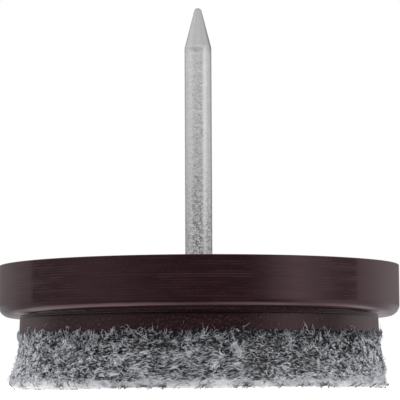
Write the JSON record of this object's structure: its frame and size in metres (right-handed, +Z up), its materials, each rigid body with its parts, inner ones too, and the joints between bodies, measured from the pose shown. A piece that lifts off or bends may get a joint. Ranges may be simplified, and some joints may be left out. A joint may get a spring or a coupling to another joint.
{
  "type": "nail on furniture glide",
  "caption": "Round furniture glide: a dark brown plastic disc with a steel nail standing from its top and a grey felt pad under a narrower collar.",
  "frame": {"origin": "centre of the felt pad's underside, on the floor the glide stands on", "axes": "+Z up along the nail towards its point, which is the axis of symmetry; X and Y are free because every piece is round"},
  "size_m": [0.03, 0.03, 0.029],
  "materials": {
    "zinc_steel": "zinc-plated steel wire, satin and slightly mottled, greyer towards the base",
    "brown_plastic": "dark reddish brown moulded plastic, half gloss with fine turning lines round the side, duller on the collar",
    "grey_felt": "needle felt of mixed pale grey and near-black fibres"
  },
  "bodies": {
    "root": {"nail": "zinc_steel", "base": "brown_plastic", "felt_pad": "grey_felt"}
  },
  "joints": []
}
